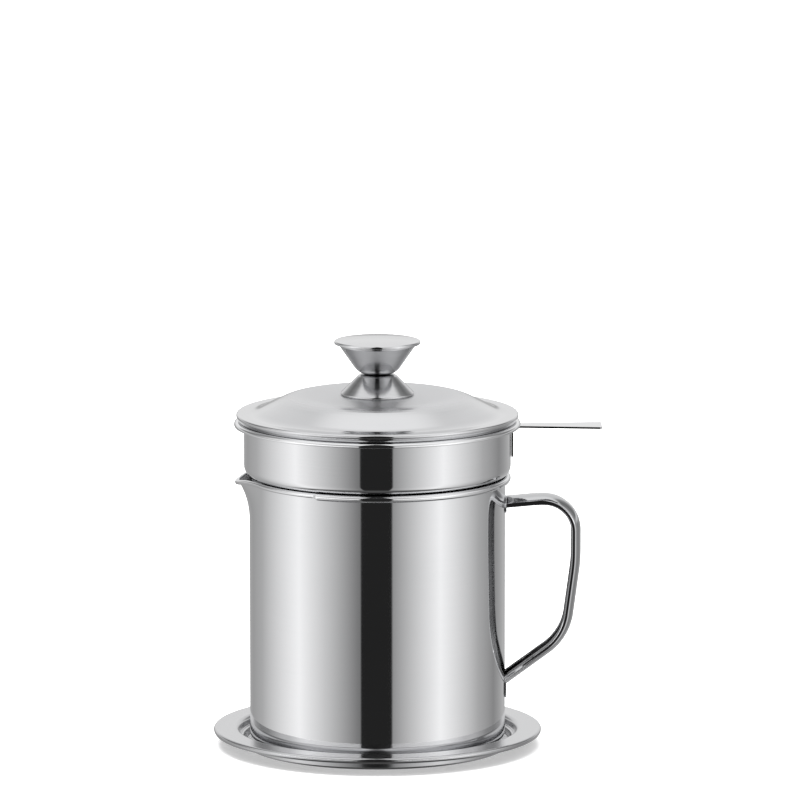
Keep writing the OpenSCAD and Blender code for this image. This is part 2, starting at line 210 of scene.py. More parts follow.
# Tray
tray_wall = 0.7
tray_room = 2.5
tray_floor_r = pot_r + tray_room
tray_riser_w = 0.8
tray_ledge_w = 1.6
tray_edge_h = 2.6
tray_edge_r = 0.9
tray_lean = 30
tray_floor_bend_r = 1.5
tray_ledge_bend_r = 0.6
tray_rim_bend_r = 2
tray_ring_r = 35.5
tray_ring_w = 5
tray_ring_top_w = tray_ring_w / 3
tray_ring_h = 0.3
tray_ring_bend_r = 2

# Fineness of round pieces and bends, with steps in degrees
SEGMENTS = 256
BEND_STEP = 6
HANDLE_STEP = 1.5

# Stations round the pot, in degrees: fine ones as far as an angle from the spout's middle, then coarse ones
FINE_ANGLE = 66
FINE_STEP = 0.5
COARSE_STEP = 1.5
RIM_STEP_PARTS = 4

# Points beside a bend: how far from it, the most as a share of the run, and the shortest run that has them
SUPPORT = 0.12
SUPPORT_SHARE = 0.25
SUPPORT_RUN = 3 * SUPPORT

# What counts as on the axis, as one point (in metres) and as a sharp edge, and how such an edge is rounded
ON_AXIS = 0.01
SAME_POINT = 2e-7
SHARP_ANGLE = 40
EDGE_SEGMENTS = 3

# Screen: digits in which the corners that cells share agree, and how the border is triangulated,
# which is only inside its bounds and with points this close taken as one
CORNER_DIGITS = 3
INSIDE_BOUNDS = 1
BOUNDS_LIMIT = 1e-6


# Outlines: points are pairs, and a path's points carry a bend radius


def add(p, q, k=1):
    """The point p, moved by k times q."""
    return (p[0] + q[0] * k, p[1] + q[1] * k)


def unit(p):
    """A direction with a length of 1."""
    length = math.hypot(*p)
    return (p[0] / length, p[1] / length)


def towards(p, q):
    """Direction from p to q."""
    return unit((q[0] - p[0], q[1] - p[1]))


def arc(centre, r, start, turn, step=BEND_STEP):
    """Points of an arc about a centre, from one angle through a turn, in degrees."""
    steps = max(2, math.ceil(abs(turn) / step))
    angles = [math.radians(start + turn * k / steps) for k in range(steps + 1)]
    return [(centre[0] + r * math.cos(a), centre[1] + r * math.sin(a)) for a in angles]


def bend(a, p, b, r, step):
    """The arc that rounds the corner at p, between a and b."""
    u, v = towards(p, a), towards(p, b)
    half = math.acos(max(-1, min(1, u[0] * v[0] + u[1] * v[1]))) / 2
    centre = add(p, unit((u[0] + v[0], u[1] + v[1])), r / math.sin(half))
    first = add(p, u, r / math.tan(half))
    last = add(p, v, r / math.tan(half))
    start = math.degrees(math.atan2(first[1] - centre[1], first[0] - centre[0]))
    end = math.degrees(math.atan2(last[1] - centre[1], last[0] - centre[0]))
    return arc(centre, r, start, (end - start + 180) % 360 - 180, step)


def bent(points, step=BEND_STEP):
    """A path through points (x, y, bend radius)."""
    path = []
    for i, (x, y, r) in enumerate(points):
        if r:
            path += bend(points[i - 1][:2], (x, y), points[i + 1][:2], r, step)
        else:
            path.append((x, y))
    return path


def heading(path, i):
    """Direction of a path at point i."""
    before = towards(path[i - 1], path[i]) if i > 0 else (0, 0)
    after = towards(path[i], path[i + 1]) if i < len(path) - 1 else (0, 0)
    return unit((before[0] + after[0], before[1] + after[1]))


def sideways(path, i):
    """The mitred normal of a path at point i, to its left."""
    h = heading(path, i)
    run = towards(path[i - 1], path[i]) if i > 0 else towards(path[i], path[i + 1])
    stretch = 1 / (h[0] * run[0] + h[1] * run[1])
    return (-h[1] * stretch, h[0] * stretch)


def beside(path, d):
    """The line at a distance d to the left of a path."""
    return [add(p, sideways(path, i), d) for i, p in enumerate(path)]


def rounded_end(path, i, t):
    """The half circle that closes a sheet past its last point, from its left to its right side."""
    h = heading(path, i)
    start = math.degrees(math.atan2(h[1], h[0])) + 90
    return arc(path[i], t / 2, start, -180)[1:-1]


def sheet(path, t):
    """Outline of a sheet along a path, rounded at its ends unless they lie on the axis."""
    left, right = beside(path, t / 2), beside(path, -t / 2)
    outline = left + rounded_end(path, len(path) - 1, t) + right[::-1]
    if path[0][0] > ON_AXIS:
        outline += rounded_end(path[::-1], len(path) - 1, t)
    return outline


def corner_out(r, lean):
    """How far the corner of a leaning edge lies outside the radius that its bend just reaches."""
    return r * (math.tan(math.radians(45 + lean / 2)) - 1)


def supports(outline, closed):
    """Where an outline needs points beside its bends, so that long flat runs keep true normals."""
    count = len(outline)
    plan = []
    for i in range(count if closed else count - 1):
        length = math.dist(outline[i], outline[(i + 1) % count])
        share = min(SUPPORT / length, SUPPORT_SHARE) if length > SUPPORT_RUN else 0
        plan.append((share, 1 - share) if share else ())
    return plan


def supported(outline, plan):
    """An outline with the points of a plan added."""
    points = []
    count = len(outline)
    for i, p in enumerate(outline):
        points.append(p)
        q = outline[(i + 1) % count]
        for share in plan[i] if i < len(plan) else ():
            points.append((p[0] + (q[0] - p[0]) * share, p[1] + (q[1] - p[1]) * share))
    return points


# Meshes


def make_object(name, points, faces, material_index=None):
    """A smooth-shaded object from points in millimetres."""
    mesh = bpy.data.meshes.new(name)
    mesh.from_pydata([Vector(p) * MM for p in points], [], faces)
    if material_index:
        mesh.polygons.foreach_set("material_index", material_index)
    work = bmesh.new()
    work.from_mesh(mesh)
    bmesh.ops.remove_doubles(work, verts=work.verts, dist=SAME_POINT)
    bmesh.ops.recalc_face_normals(work, faces=work.faces)
    work.to_mesh(mesh)
    work.free()
    mesh.shade_smooth()
    obj = bpy.data.objects.new(name, mesh)
    bpy.context.scene.collection.objects.link(obj)
    return obj


def skin(name, sections, ring, loop, ends=False, second=()):
    """A skin over equal sections. ring joins the last section to the first, and loop closes each section.

    second holds the section edges that take the object's second material.
    """
    n = len(sections[0])
    points = [p for s in sections for p in s]
    faces, indices = [], []
    for i in range(len(sections) if ring else len(sections) - 1):
        a, b = i * n, (i + 1) % len(sections) * n
        for k in range(n if loop else n - 1):
            m = (k + 1) % n
            faces.append((a + k, b + k, b + m, a + m))
            indices.append(1 if k in second else 0)
    if ends:
        last = (len(sections) - 1) * n
        faces += [tuple(range(n)), tuple(last + k for k in reversed(range(n)))]
        indices += [0, 0]
    return make_object(name, points, faces, indices)


def lathe(name, path, t, inside=0):
    """A round pressing: a sheet whose middle line is the path, turned about the Z axis.

    inside is how many runs of the path take the second material on their left side.
    """
    outline = sheet(path, t)
    loop = path[0][0] > ON_AXIS
    if not loop:
        # Both sides of a sheet that starts on the axis meet it in one point
        outline[0], outline[-1] = (0, outline[0][1]), (0, outline[-1][1])
    plan = supports(outline, loop)
    second = inside + sum(len(extra) for extra in plan[:inside])
    outline = supported(outline, plan)
    turned = []
    for s in range(SEGMENTS):
        a = 2 * math.pi * s / SEGMENTS
        turned.append([(r * math.cos(a), r * math.sin(a), z) for r, z in outline])
    return skin(name, turned, True, loop, second=set(range(second)))


def patch(name, outer, inner):
    """A closed sheet between two equal grids of points."""
    rows, cols = len(outer), len(outer[0])
    points = [p for row in outer for p in row] + [p for row in inner for p in row]
    half = rows * cols

    def at(side, i, k):
        return side * half + i * cols + k

    faces = []
    for i in range(rows - 1):
        for k in range(cols - 1):
            quad = (at(0, i, k), at(0, i + 1, k), at(0, i + 1, k + 1), at(0, i, k + 1))
            faces += [quad, tuple(v + half for v in reversed(quad))]
    rim = [(i, 0) for i in range(rows)]
    rim += [(rows - 1, k) for k in range(1, cols)]
    rim += [(i, cols - 1) for i in reversed(range(rows - 1))]
    rim += [(0, k) for k in reversed(range(1, cols - 1))]
    for (i, k), (j, m) in zip(rim, rim[1:] + rim[:1]):
        faces.append((at(0, i, k), at(1, i, k), at(1, j, m), at(0, j, m)))
    return make_object(name, points, faces)


def soften(obj, width):
    """Rounds an object's sharp edges."""
    obj.data.set_sharp_from_angle(angle=math.radians(SHARP_ANGLE))
    bevel = obj.modifiers.new("edges", "BEVEL")
    bevel.width = width * MM
    bevel.segments = EDGE_SEGMENTS
    bevel.angle_limit = math.radians(SHARP_ANGLE)
    bevel.harden_normals = True
    return obj


# Tray


def make_tray():
    """The drip tray: a floor with a raised ring, a riser in two steps, a flat rim and a leaning edge."""
    half = tray_wall / 2
    ledge_r = tray_floor_r + tray_riser_w
    ledge_z = half + (tray_high.z - tray_wall) / 2
    rim_r = ledge_r + tray_ledge_w + tray_riser_w
    rim_z = tray_high.z - half
    edge_r = tray_high.x - half + corner_out(tray_edge_r, tray_lean)
    foot_z = tray_high.z - tray_edge_h + half
    foot_r = edge_r - (rim_z - foot_z) * math.tan(math.radians(tray_lean))
    path = bent([
        (0, half, 0),
        (tray_ring_r - tray_ring_w / 2, half, tray_ring_bend_r),
        (tray_ring_r - tray_ring_top_w / 2, half + tray_ring_h, tray_ring_bend_r),
        (tray_ring_r + tray_ring_top_w / 2, half + tray_ring_h, tray_ring_bend_r),
        (tray_ring_r + tray_ring_w / 2, half, tray_ring_bend_r),
        (tray_floor_r, half, tray_floor_bend_r),
        (ledge_r, ledge_z, tray_ledge_bend_r),
        (ledge_r + tray_ledge_w, ledge_z, tray_ledge_bend_r),
        (rim_r, rim_z, tray_rim_bend_r),
        (edge_r, rim_z, tray_edge_r),
        (foot_r, foot_z, 0),
    ])
    floor_runs = sum(r < tray_floor_r - tray_floor_bend_r for r, z in path)
    return lathe("tray_plate", path, tray_wall, floor_runs)


# Pot: the functions down to the shell take an angle from the spout's middle, in degrees


def beak(a):
    """How far the wall stands out at its rim: straight sides that meet in a rounded tip."""
    s = math.hypot(a, tip_soft)
    if s >= beak_angle:
        return 0
    return pot_mid_r / math.cos(math.radians(beak_angle - s)) - pot_mid_r


def rim_d(a):
    """Diameter of the rim: a thin hem near the spout, a soft step, and a thicker bead round the rest."""
    share = min(1, max(0, (abs(a) - hem_angle) / step_angle))
    return hem_d + (bead_d - hem_d) * share * share * (3 - 2 * share)


def curl_z(a):
    """Height of the middle of the rim's curl."""
    return pot_h - rim_d(a) / 2 - spout_dip * beak(a) / spout_reach


def spout_wall(a, s):
    """A point of the wall's middle line, where s runs from 0 at the spout's foot to 1 at its rim."""
    return (pot_mid_r + beak(a) * s**spout_power, spout_z + s * (curl_z(a) - spout_z))


def curl(a):
    """The curl at the top of the wall, which leans out at the spout."""
    r = (rim_d(a) - pot_wall) / 2
    lean = math.degrees(math.atan(beak(a) * spout_power / (curl_z(a) - spout_z)))
    top = spout_wall(a, 1)
    centre = add(top, (math.cos(math.radians(lean)), -math.sin(math.radians(lean))), r)
    return arc(centre, r, 180 - lean, -curl_angle)


def pot_path(a):
    """Middle line of the pot's sheet, from the middle of its base to the end of the curl."""
    half = pot_wall / 2
    ring_r = pot_r - pot_corner_r - base_ring_w
    base = bent([
        (0, base_rise + half, 0),
        (ring_r - base_slope_w, base_rise + half, base_slope_r),
        (ring_r, half, base_slope_r),
        (pot_mid_r, half, pot_corner_r - half),
        (pot_mid_r, spout_z - spout_lead, 0),
    ])
    return base + [spout_wall(a, k / spout_rows) for k in range(spout_rows)] + curl(a)


def pot_angles():
    """Stations round the pot, closer together at the spout and its hem."""
    fine_count = round(2 * FINE_ANGLE / FINE_STEP)
    coarse_count = round((360 - 2 * FINE_ANGLE) / COARSE_STEP)
    fine = [FINE_STEP * k - FINE_ANGLE for k in range(fine_count)]
    coarse = [FINE_ANGLE + COARSE_STEP * k for k in range(coarse_count)]
    step = [hem_angle + step_angle * k / RIM_STEP_PARTS for k in range(1, RIM_STEP_PARTS)]
    return sorted(set(fine + coarse + step + [-a for a in step]))


def make_pot():
    """The pot's shell: a skin over sections, each with the added points that the one at the back needs."""
    plain = pot_path(180)
    wall_points = len(plain) - len(curl(180))
    outline = sheet(plain, pot_wall)
    plan = supports(outline, False)
    sections = []
    for a in pot_angles():
        c, s = math.cos(math.radians(a)), math.sin(math.radians(a))
        placed = supported(sheet(pot_path(a), pot_wall), plan)
        sections.append([(-r * c, -r * s, z + pot_z) for r, z in placed])
    inside = wall_points + sum(len(extra) for extra in plan[:wall_points])
    return skin("pot_shell", sections, True, False, second=set(range(inside)))


def handle_path():
    """Outer line of the pot's handle, from its upper to its lower root."""
    foot_x = handle_out - handle_lean
    return bent([
        (handle_root_x, handle_root_z, 0),
        (pot_r + handle_arch_x, handle_top, handle_arch_r),
        (handle_out, handle_top, handle_bend_r),
        (handle_out, handle_top - handle_grip_drop, handle_grip_r),
        (foot_x, handle_foot_z + handle_foot_h, handle_foot_r),
        (handle_root_x, handle_foot_z, 0),
    ], HANDLE_STEP)


def crown_depth(y):
    """How far the channel's arched back lies in from its ridge, at y across the handle."""
    return crown_r - math.sqrt(crown_r**2 - y**2)


def channel_outline():
    """The channel's section, across the handle and in from its outer face, and its edges on the inside,
    which take a dark steel as painted shade.
    """
    back = handle_sheet / 2
    front = handle_depth - handle_sheet / 2
    lip = handle_w / 2 - handle_lip
    points = [(-lip, front, 0), (-channel_side, front, channel_lip_r)]
    for k in range(-crown_steps, crown_steps + 1):
        y = channel_side * k / crown_steps
        points.append((y, back + crown_depth(y), channel_r if abs(k) == crown_steps else 0))
    path = bent(points + [(channel_side, front, channel_lip_r), (lip, front, 0)])
    # The section lies on both sides of the handle's middle, so both its ends are rounded
    left, right = beside(path, handle_sheet / 2), beside(path, -handle_sheet / 2)
    end = rounded_end(path, len(path) - 1, handle_sheet)
    start = rounded_end(path[::-1], len(path) - 1, handle_sheet)
    outline = left + end + right[::-1] + start
    plan = supports(outline, True)
    runs = len(left) - 1
    inside = runs + sum(len(extra) for extra in plan[:runs])
    outline = supported(outline, plan)
    edges = zip(outline, outline[1:] + outline[:1])
    inner = {k for k, (a, b) in enumerate(edges) if k < inside or min(a[1], b[1]) > front}
    return outline, inner


def on_wall(point, direction):
    """Where a line through a point of the handle meets the pot's wall."""
    x = math.sqrt((pot_r + weld_gap) ** 2 - point[1] ** 2)
    k = (x - point[0]) / direction[0]
    return (x, point[1], point[2] + k * direction[1])


def make_pot_handle():
    """The handle: its section along its path, cut to the pot's wall at both ends."""
    path = handle_path()
    path = supported(path, supports(path, False))
    outline, inner = channel_outline()
    sections = []
    for i, p in enumerate(path):
        n = sideways(path, i)
        sections.append([(p[0] - w * n[0], y, p[1] - w * n[1]) for y, w in outline])
    for i in (0, len(path) - 1):
        direction = heading(path, i)
        sections[i] = [on_wall(q, direction) for q in sections[i]]
    return skin("pot_handle_channel", sections, False, True, ends=True, second=inner)


def dimple(u, v, places, r, depth):
    """Depth of the round weld marks at a place on a tab."""
    marks = [max(0, 1 - (math.dist((u, v), p) / r) ** 2) for p in places]
    return depth * max(marks) ** weld_mark_power


def make_wall_tab(name, top, bottom, bow):
    """A weld tab bent to the pot's wall, with rounded lower corners and two weld marks.

    Its top edge follows the channel's arched back, down or up by the sign of bow.
    """
    length = top - bottom
    width = handle_w - 2 * handle_lip
    marks = [(side * width * weld_mark_side, -length * weld_mark_down) for side in (-1, 1)]
    base = pot_r + weld_gap / 2
    outer, inner = [], []
    for i in range(tab_rows + 1):
        v = -length * i / tab_rows
        low = max(0, tab_corner_r - length - v)
        half = width / 2 - tab_corner_r + math.sqrt(max(0, tab_corner_r**2 - low**2))
        out_row, in_row = [], []
        for k in range(tab_cols + 1):
            u = half * (2 * k / tab_cols - 1)
            r = pot_r + weld_gap + handle_sheet - dimple(u, v, marks, weld_mark_r, weld_mark_depth)
            a = u / pot_r
            z = top + v + bow * crown_depth(u) * (1 - i / tab_rows)
            out_row.append((r * math.cos(a), r * math.sin(a), z))
            in_row.append((base * math.cos(a), base * math.sin(a), z))
        outer.append(out_row)
        inner.append(in_row)
    return soften(patch(name, outer, inner), tab_edge_r)


# Strainer


def make_strainer():
    """The strainer's cup: a ledge for the screen, a stepped wall and a turned lip."""
    half = strainer_wall / 2
    floor_z = cup_low.z + half
    lip_z = cup_high.z - half
    mesh_r = mesh_high.x
    path = bent([
        (mesh_r - ledge_w, floor_z, 0),
        (lower_r - half, floor_z, strainer_corner_r - half),
        (lower_r - half, shoulder_z + half, shoulder_r),
        (upper_r - half, shoulder_z + shoulder_drop + half, shoulder_top_r),
        (upper_r - half, lip_z, lip_bend_r),
        (cup_high.x - half, lip_z, lip_edge_r),
        (cup_high.x - half, cup_high.z - lip_drop, 0),
    ])
    inside = sum(z < lip_z - lip_bend_r / 2 and r < upper_r for r, z in path)
    return lathe("strainer_shell", path, strainer_wall, inside)


def hexagon(centre, r):
    """Corners of a cell or of its hole."""
    angles = [math.radians(60 * k + 30) for k in range(6)]
    return [(centre[0] + r * math.cos(a), centre[1] + r * math.sin(a)) for a in angles]


def honeycomb(places):
    """Points and faces of a cell with a hole at each place, the holes' corners, and the outermost edges."""
    points, faces, holes = [], [], []
    index, times = {}, {}
    for p in places:
        outer = []
        for q in hexagon(p, screen_cell_r):
            key = (round(q[0], CORNER_DIGITS), round(q[1], CORNER_DIGITS))
            if key not in index:
                index[key] = len(points)
                points.append(q)
            outer.append(index[key])
        inner = [len(points) + k for k in range(len(outer))]
        points += hexagon(p, screen_hole_r)
        holes.append(inner)
        for k, v in enumerate(outer):
            m = (k + 1) % len(outer)
            faces.append((v, outer[m], inner[m], inner[k]))
            side = tuple(sorted((v, outer[m])))
            times[side] = times.get(side, 0) + 1
    return points, faces, holes, [side for side, count in times.items() if count == 1]


def nearest(places, p, reach):
    """The place nearest to p, among those less than a reach away along each axis."""
    found = [q for q in places if abs(q[0] - p[0]) < reach and abs(q[1] - p[1]) < reach]
    return min(found, key=lambda q: math.dist(p, q))


def thick_plate(name, points, faces, rings):
    """Gives a flat plate its thickness, with walls round its holes and its edge."""
    count = len(points)
    solid = [(x, y, mesh_high.z) for x, y in points] + [(x, y, mesh_low.z) for x, y in points]
    skins = faces + [tuple(v + count for v in reversed(f)) for f in faces]
    for ring in rings:
        for a, b in zip(ring, ring[1:] + ring[:1]):
            skins.append((a, b, b + count, a + count))
    obj = make_object(name, solid, skins)
    obj.data.set_sharp_from_angle(angle=math.radians(SHARP_ANGLE))
    return obj


def make_screen():
    """The perforated floor: a honeycomb of cells with a hole in each, and a plain border round it."""
    disc_r = mesh_high.x
    reach = disc_r - screen_border - screen_cell_r
    rows = math.ceil(disc_r / screen_row)
    span = range(-rows, rows + 1)
    lattice = [((i + j % 2 / 2) * screen_pitch, j * screen_row) for j in span for i in span]
    points, faces, holes, rim = honeycomb([p for p in lattice if math.hypot(*p) < reach])
    edge = [len(points) + k for k in range(SEGMENTS)]
    points += arc((0, 0), disc_r, 0, 360, 360 / SEGMENTS)[:-1]
    # The border is triangulated between the honeycomb's outer edges and the disc's edge
    used = sorted({v for side in rim for v in side}) + edge
    local = {v: i for i, v in enumerate(used)}
    bounds = [(local[a], local[b]) for a, b in rim + list(zip(edge, edge[1:] + edge[:1]))]
    flat = [Vector(points[v]) for v in used]
    triangles, origins = delaunay_2d_cdt(flat, bounds, [], INSIDE_BOUNDS, BOUNDS_LIMIT)[2:4]
    for triangle in triangles:
        corners = [used[origins[v][0]] for v in triangle]
        middle = [sum(points[v][axis] for v in corners) / 3 for axis in (0, 1)]
        # A triangle belongs to the border when the cell it lies in has no hole
        if math.hypot(*nearest(lattice, middle, screen_pitch)) >= reach:
            faces.append(tuple(corners))
    return thick_plate("strainer_screen", points, faces, holes + [edge])


def make_strainer_strip():
    """The flared strip, bent down to a weld tab on the strainer's wall."""
    half = strip_t / 2
    end_x = strip_high.x
    root_x = upper_r + weld_gap
    bend_path = bent([
        (root_x + half, strip_low.z, 0),
        (root_x + half, strip_high.z - half, strip_bend_r),
        (end_x, strip_high.z - half, 0),
    ])
    path = []
    for a, b in zip(bend_path, bend_path[1:]):
        steps = max(1, math.ceil(math.dist(a, b) / strip_step))
        path += [add(a, (b[0] - a[0], b[1] - a[1]), k / steps) for k in range(steps)]
    path.append(bend_path[-1])
    marks = [(0, strip_low.z + h) for h in strip_mark_heights]
    outer, inner = [], []
    for i, (x, z) in enumerate(path):
        n = sideways(path, i)
        flare = max(0, (x - cup_high.x) / (end_x - cup_high.x))
        width = strip_w / 2 + (strip_high.y - strip_w / 2) * flare
        past = max(0, x - (end_x - strip_end_r)) if flare else max(0, strip_low.z + strip_end_r - z)
        width -= strip_end_r - math.sqrt(max(0, strip_end_r**2 - past**2))
        out_row, in_row = [], []
        for k in range(strip_cols + 1):
            y = width * (2 * k / strip_cols - 1)
            sink = dimple(y, z, marks, strip_mark_r, weld_mark_depth) if x < root_x + strip_t else 0
            out_row.append((x - n[0] * (half - sink), y, z - n[1] * (half - sink)))
            in_row.append((x + n[0] * half, y, z + n[1] * half))
        outer.append(out_row)
        inner.append(in_row)
    return soften(patch("strainer_strip", outer, inner), strip_edge_r)


# Lid


def make_lid():
    """The lid: a raised middle with the screw's hole, a flat brim and a leaning edge."""
    half = lid_wall / 2
    edge_r = dome_high.x - half + corner_out(lid_edge_r, lid_lean)
    brim_r = dome_high.x - brim_w
    brim_z = collar_high.z + half
    middle_z = dome_high.z - half
    foot_z = dome_low.z + half
    path = bent([
        (screw_hole_r, middle_z, 0),
        (brim_r - riser_w, middle_z, riser_top_r),
        (brim_r, brim_z, riser_foot_r),
        (edge_r, brim_z, lid_edge_r),
        (edge_r - (brim_z - foot_z) * math.tan(math.radians(lid_lean)), foot_z, 0),
    ])
    return lathe("lid_shell", path, lid_wall)


def make_collar():
    """The ring under the lid: a flange, a wall, a groove and a rolled hem."""
    half = lid_wall / 2
    wall_r = collar_high.x - collar_flange_w
    flange_z = collar_high.z - half
    bottom = collar_low.z
    hem_r = collar_hem / 2
    groove_z = bottom + collar_hem + groove_h / 2
    path = bent([
        (wall_r + collar_flange_w - half, flange_z, 0),
        (wall_r, flange_z, collar_bend_r),
        (wall_r, groove_z + groove_h, groove_r),
        (wall_r - groove_depth, groove_z, groove_r),
        (wall_r - groove_depth / 2, groove_z - groove_h / 2, 0),
    ])
    path += arc((wall_r - hem_r + half, bottom + hem_r), hem_r - half, hem_start, -hem_turn)
    return lathe("lid_ring", path, lid_wall)


# Knob


def make_knob_cap():
    """The knob's top: a low crown with a turned edge."""
    half = knob_wall / 2
    edge_r = cap_high.x - half
    crown_z = cap_high.z - half
    sphere_r = (edge_r**2 + cap_crown**2) / (2 * cap_crown)
    spread = math.asin((edge_r - cap_edge_r) / sphere_r)
    angles = [spread * k / cap_steps for k in range(cap_steps + 1)]
    crown = [(sphere_r * math.sin(a), crown_z - sphere_r + sphere_r * math.cos(a)) for a in angles]
    last = crown[-1]
    turn = arc((last[0], last[1] - cap_edge_r), cap_edge_r, 90, -90)[1:]
    path = crown + turn + [(turn[-1][0], cap_low.z)]
    return lathe("knob_top", path, knob_wall)


def make_knob_cone():
    """The knob's upper cone, with a flange at its top."""
    half = knob_wall / 2
    top_r = cone_high.x - half
    path = bent([
        (screw_hole_r, cone_low.z + half, 0),
        (waist_r - half, cone_low.z + half, waist_bend_r),
        (top_r, cone_high.z - half, cone_top_bend_r),
        (top_r - cone_flange_w, cone_high.z - half, 0),
    ])
    return lathe("knob_upper", path, knob_wall)


def make_knob_skirt():
    """The knob's lower cone, with a short upright lip at its foot."""
    half = knob_wall / 2
    foot_r = skirt_high.x - half
    path = bent([
        (screw_hole_r, skirt_high.z - half, 0),
        (skirt_top_r - half, skirt_high.z - half, skirt_bend_r),
        (foot_r, skirt_low.z + skirt_lip_h + half, half),
        (foot_r, skirt_low.z + half, 0),
    ])
    return lathe("knob_foot", path, knob_wall)


# Materials

# Marks and clouds in the steel: their noise's scale and detail, and the part of its range that is used
LINE_TURNS = 1.5
LINE_DETAIL = 3
CLOUD_SCALE = 38
CLOUD_DETAIL = 4
NOISE_LOW = 0.3
NOISE_HIGH = 0.7

# Turns the stretch of the reflections across the marks
QUARTER_TURN = 0.25


def new_material(name):
    """A new material, with its nodes, its links and its shader."""
    material = bpy.data.materials.new(name)
    material.use_nodes = True
    nodes = material.node_tree.nodes
    return material, nodes, material.node_tree.links, nodes["Principled BSDF"]


def math_node(nodes, links, operation, first, second=None):
    """A value worked out from numbers or from the values of other nodes."""
    node = nodes.new("ShaderNodeMath")
    node.operation = operation
    for socket, value in zip(node.inputs, (first, second)):
        if isinstance(value, (int, float)):
            socket.default_value = value
        elif value is not None:
            links.new(value, socket)
    return node.outputs[0]


def round_coordinates(nodes, links, around, across, along):
    """Coordinates for marks that run round the Z axis: turn, radius and height, each with its own scale."""
    place = nodes.new("ShaderNodeTexCoord").outputs["Object"]
    split = nodes.new("ShaderNodeSeparateXYZ")
    links.new(place, split.inputs[0])
    x, y, z = split.outputs
    radius = math_node(nodes, links, "SQRT", math_node(
        nodes, links, "ADD",
        math_node(nodes, links, "MULTIPLY", x, x),
        math_node(nodes, links, "MULTIPLY", y, y),
    ))
    turn = math_node(nodes, links, "ARCTAN2", y, x)
    joined = nodes.new("ShaderNodeCombineXYZ")
    links.new(math_node(nodes, links, "MULTIPLY", turn, around), joined.inputs[0])
    links.new(math_node(nodes, links, "MULTIPLY", radius, across), joined.inputs[1])
    links.new(math_node(nodes, links, "MULTIPLY", z, along), joined.inputs[2])
    return joined.outputs[0], place


def noise(nodes, links, vector, scale, detail):
    """Noise over coordinates."""
    node = nodes.new("ShaderNodeTexNoise")
    links.new(vector, node.inputs["Vector"])
    node.inputs["Scale"].default_value = scale
    node.inputs["Detail"].default_value = detail
    return node.outputs["Fac"]


def spread_values(nodes, links, value, low, high):
    """Spreads the used part of a noise's range from low to high."""
    node = nodes.new("ShaderNodeMapRange")
    links.new(value, node.inputs["Value"])
    node.inputs["From Min"].default_value = NOISE_LOW
    node.inputs["From Max"].default_value = NOISE_HIGH
    node.inputs["To Min"].default_value = low
    node.inputs["To Max"].default_value = high
    return node.outputs["Result"]


def nearness(nodes, links, place, near, far, most):
    """A value that falls from most, near the Z axis, to none, far from it."""
    flat = nodes.new("ShaderNodeVectorMath")
    flat.operation = "MULTIPLY"
    links.new(place, flat.inputs[0])
    flat.inputs[1].default_value = (1, 1, 0)
    length = nodes.new("ShaderNodeVectorMath")
    length.operation = "LENGTH"
    links.new(flat.outputs["Vector"], length.inputs[0])
    fall = nodes.new("ShaderNodeMapRange")
    fall.interpolation_type = "SMOOTHSTEP"
    links.new(length.outputs["Value"], fall.inputs["Value"])
    fall.inputs["From Min"].default_value = near * MM
    fall.inputs["From Max"].default_value = far * MM
    fall.inputs["To Min"].default_value = most
    fall.inputs["To Max"].default_value = 0
    return fall.outputs["Result"]


def steel(name, light, dark, smooth, rough, marks, depth, stretch=0.0, buff=None):
    """Stainless steel with fine marks round the Z axis and cloudy changes of gloss.

    light and dark are its greys, smooth and rough its range of roughness, marks the scale of the lines,
    depth how deep they are and stretch how much they draw reflections out across them. buff holds two
    distances from the Z axis and the roughness that is added between them, most at the first.
    """
    material, nodes, links, shader = new_material(name)
    turned, place = round_coordinates(nodes, links, LINE_TURNS, marks, marks)
    lines = noise(nodes, links, turned, 1, LINE_DETAIL)
    clouds = noise(nodes, links, place, CLOUD_SCALE, CLOUD_DETAIL)
    mixed = math_node(nodes, links, "DIVIDE", math_node(nodes, links, "ADD", lines, clouds), 2)
    tint = nodes.new("ShaderNodeMix")
    tint.data_type = "RGBA"
    links.new(spread_values(nodes, links, mixed, 0, 1), tint.inputs["Factor"])
    tint.inputs["A"].default_value = (*dark, 1)
    tint.inputs["B"].default_value = (*light, 1)
    links.new(tint.outputs["Result"], shader.inputs["Base Color"])
    roughness = spread_values(nodes, links, mixed, smooth, rough)
    if buff:
        roughness = math_node(nodes, links, "ADD", roughness, nearness(nodes, links, place, *buff))
    links.new(roughness, shader.inputs["Roughness"])
    bump = nodes.new("ShaderNodeBump")
    bump.inputs["Strength"].default_value = 1
    bump.inputs["Distance"].default_value = depth * MM
    links.new(lines, bump.inputs["Height"])
    links.new(bump.outputs["Normal"], shader.inputs["Normal"])
    tangent = nodes.new("ShaderNodeTangent")
    tangent.direction_type = "RADIAL"
    tangent.axis = "Z"
    links.new(tangent.outputs["Tangent"], shader.inputs["Tangent"])
    shader.inputs["Metallic"].default_value = 1
    shader.inputs["Anisotropic"].default_value = stretch
    shader.inputs["Anisotropic Rotation"].default_value = QUARTER_TURN
    return material


